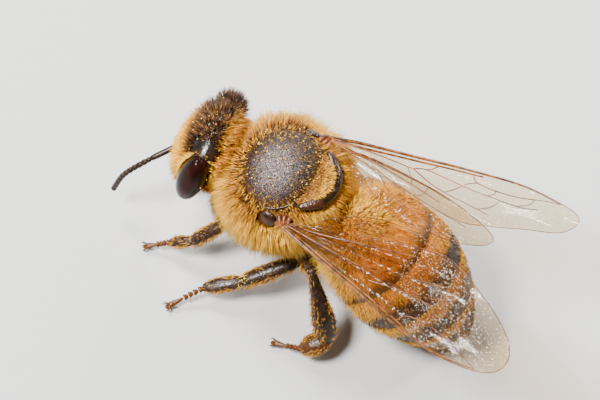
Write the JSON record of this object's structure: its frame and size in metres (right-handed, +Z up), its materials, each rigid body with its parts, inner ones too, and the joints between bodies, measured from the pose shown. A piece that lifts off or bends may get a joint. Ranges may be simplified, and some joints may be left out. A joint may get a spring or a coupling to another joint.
{
  "type": "honey bee",
  "caption": "Worker honey bee at life size, standing still with furry thorax, banded abdomen and clear wings folded back over it.",
  "frame": {"origin": "on the floor, under the middle of the box round the whole bee", "axes": "the bee faces -Y, its left side is towards +X, +Z up; the floor is z = 0"},
  "size_m": [0.0084, 0.0143, 0.0079],
  "materials": {
    "coat": "golden hair over dark brown shell",
    "shell": "glossy dark brown shell",
    "band": "glossy amber shell with dark bands and thin pale hair",
    "eye": "glossy very dark reddish brown",
    "leg": "glossy dark brown with golden hairs",
    "foot": "satin reddish brown",
    "feeler": "dull dark brown",
    "wing": "clear, slightly smoky membrane with brown veins"
  },
  "bodies": {
    "root": {"thorax": "coat", "scutellum": "shell", "neck": "shell", "waist": "shell", "head": "coat", "tongue": "shell", "eye_left": "eye", "jaw_left": "shell", "scape_left": "feeler", "flagellum_left": "feeler", "tegula_left": "shell", "eye_right": "eye", "jaw_right": "shell", "scape_right": "feeler", "flagellum_right": "feeler", "tegula_right": "shell", "abdomen_1": "coat", "abdomen_2": "coat", "abdomen_3": "band", "abdomen_4": "band", "abdomen_5": "band", "abdomen_6": "band", "forewing_left": "wing", "hindwing_left": "wing", "forewing_right": "wing", "hindwing_right": "wing", "coxa_fore_left": "leg", "femur_fore_left": "leg", "tibia_fore_left": "leg", "metatarsus_fore_left": "leg", "toes_fore_left": "foot", "coxa_fore_right": "leg", "femur_fore_right": "leg", "tibia_fore_right": "leg", "metatarsus_fore_right": "leg", "toes_fore_right": "foot", "coxa_mid_left": "leg", "femur_mid_left": "leg", "tibia_mid_left": "leg", "metatarsus_mid_left": "leg", "toes_mid_left": "foot", "coxa_mid_right": "leg", "femur_mid_right": "leg", "tibia_mid_right": "leg", "metatarsus_mid_right": "leg", "toes_mid_right": "foot", "coxa_hind_left": "leg", "femur_hind_left": "leg", "tibia_hind_left": "leg", "metatarsus_hind_left": "leg", "toes_hind_left": "foot", "coxa_hind_right": "leg", "femur_hind_right": "leg", "tibia_hind_right": "leg", "metatarsus_hind_right": "leg", "toes_hind_right": "foot"}
  },
  "joints": []
}
